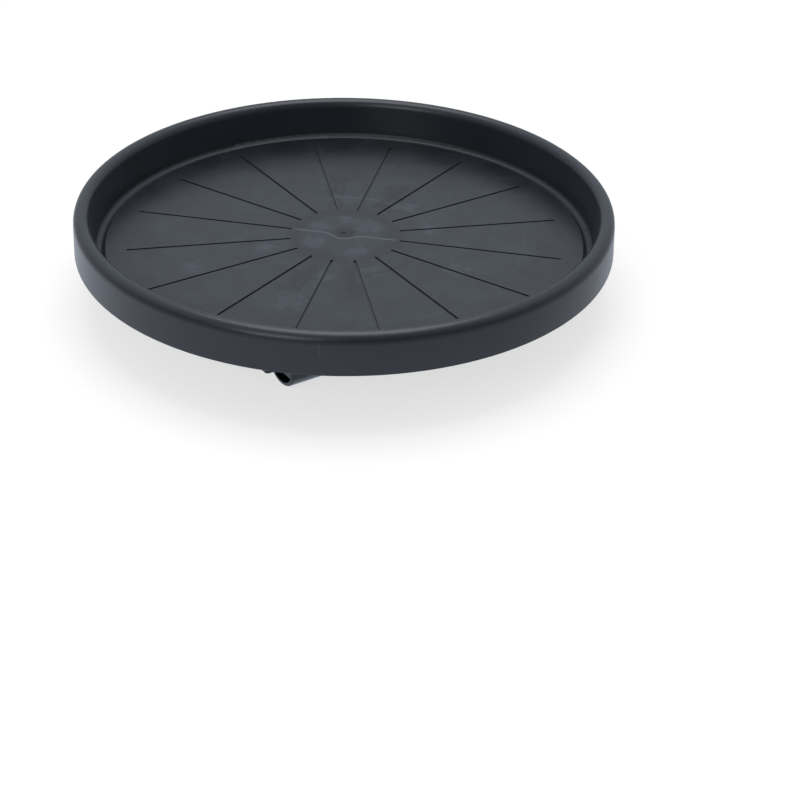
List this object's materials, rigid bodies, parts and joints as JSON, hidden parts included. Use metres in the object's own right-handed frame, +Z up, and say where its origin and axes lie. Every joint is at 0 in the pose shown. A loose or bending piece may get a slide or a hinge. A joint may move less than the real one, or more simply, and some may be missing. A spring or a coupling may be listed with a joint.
{
  "type": "plant_caddy",
  "caption": "Round moulded plant caddy with bullnose rim, grooved raised floor with a water channel round it, ribbed underside and wide rollers on steel axles",
  "frame": {"origin": "under the middle of the tray, on the plane the four rollers stand on", "axes": "+Z up through the dish; +X along the four roller axles; +Y the way the caddy rolls"},
  "size_m": [0.392, 0.392, 0.073],
  "materials": {
    "tray_plastic": "satin anthracite polypropylene, moulded",
    "roller_plastic": "smooth black moulded plastic",
    "axle_steel": "drawn steel pin"
  },
  "bodies": {
    "tray": {"tray": "tray_plastic", "axle_front_left": "axle_steel", "axle_front_right": "axle_steel", "axle_back_left": "axle_steel", "axle_back_right": "axle_steel"},
    "roller_front_left": {"roller_front_left": "roller_plastic"},
    "roller_front_right": {"roller_front_right": "roller_plastic"},
    "roller_back_left": {"roller_back_left": "roller_plastic"},
    "roller_back_right": {"roller_back_right": "roller_plastic"}
  },
  "joints": [
    {"name": "front_left_spin", "type": "hinge", "parent": "tray", "child": "roller_front_left", "pos_m": [-0.09192, -0.09192, 0.0185], "axis": [1, 0, 0], "continuous": true},
    {"name": "front_right_spin", "type": "hinge", "parent": "tray", "child": "roller_front_right", "pos_m": [0.09192, -0.09192, 0.0185], "axis": [1, 0, 0], "continuous": true},
    {"name": "back_left_spin", "type": "hinge", "parent": "tray", "child": "roller_back_left", "pos_m": [-0.09192, 0.09192, 0.0185], "axis": [1, 0, 0], "continuous": true},
    {"name": "back_right_spin", "type": "hinge", "parent": "tray", "child": "roller_back_right", "pos_m": [0.09192, 0.09192, 0.0185], "axis": [1, 0, 0], "continuous": true}
  ]
}
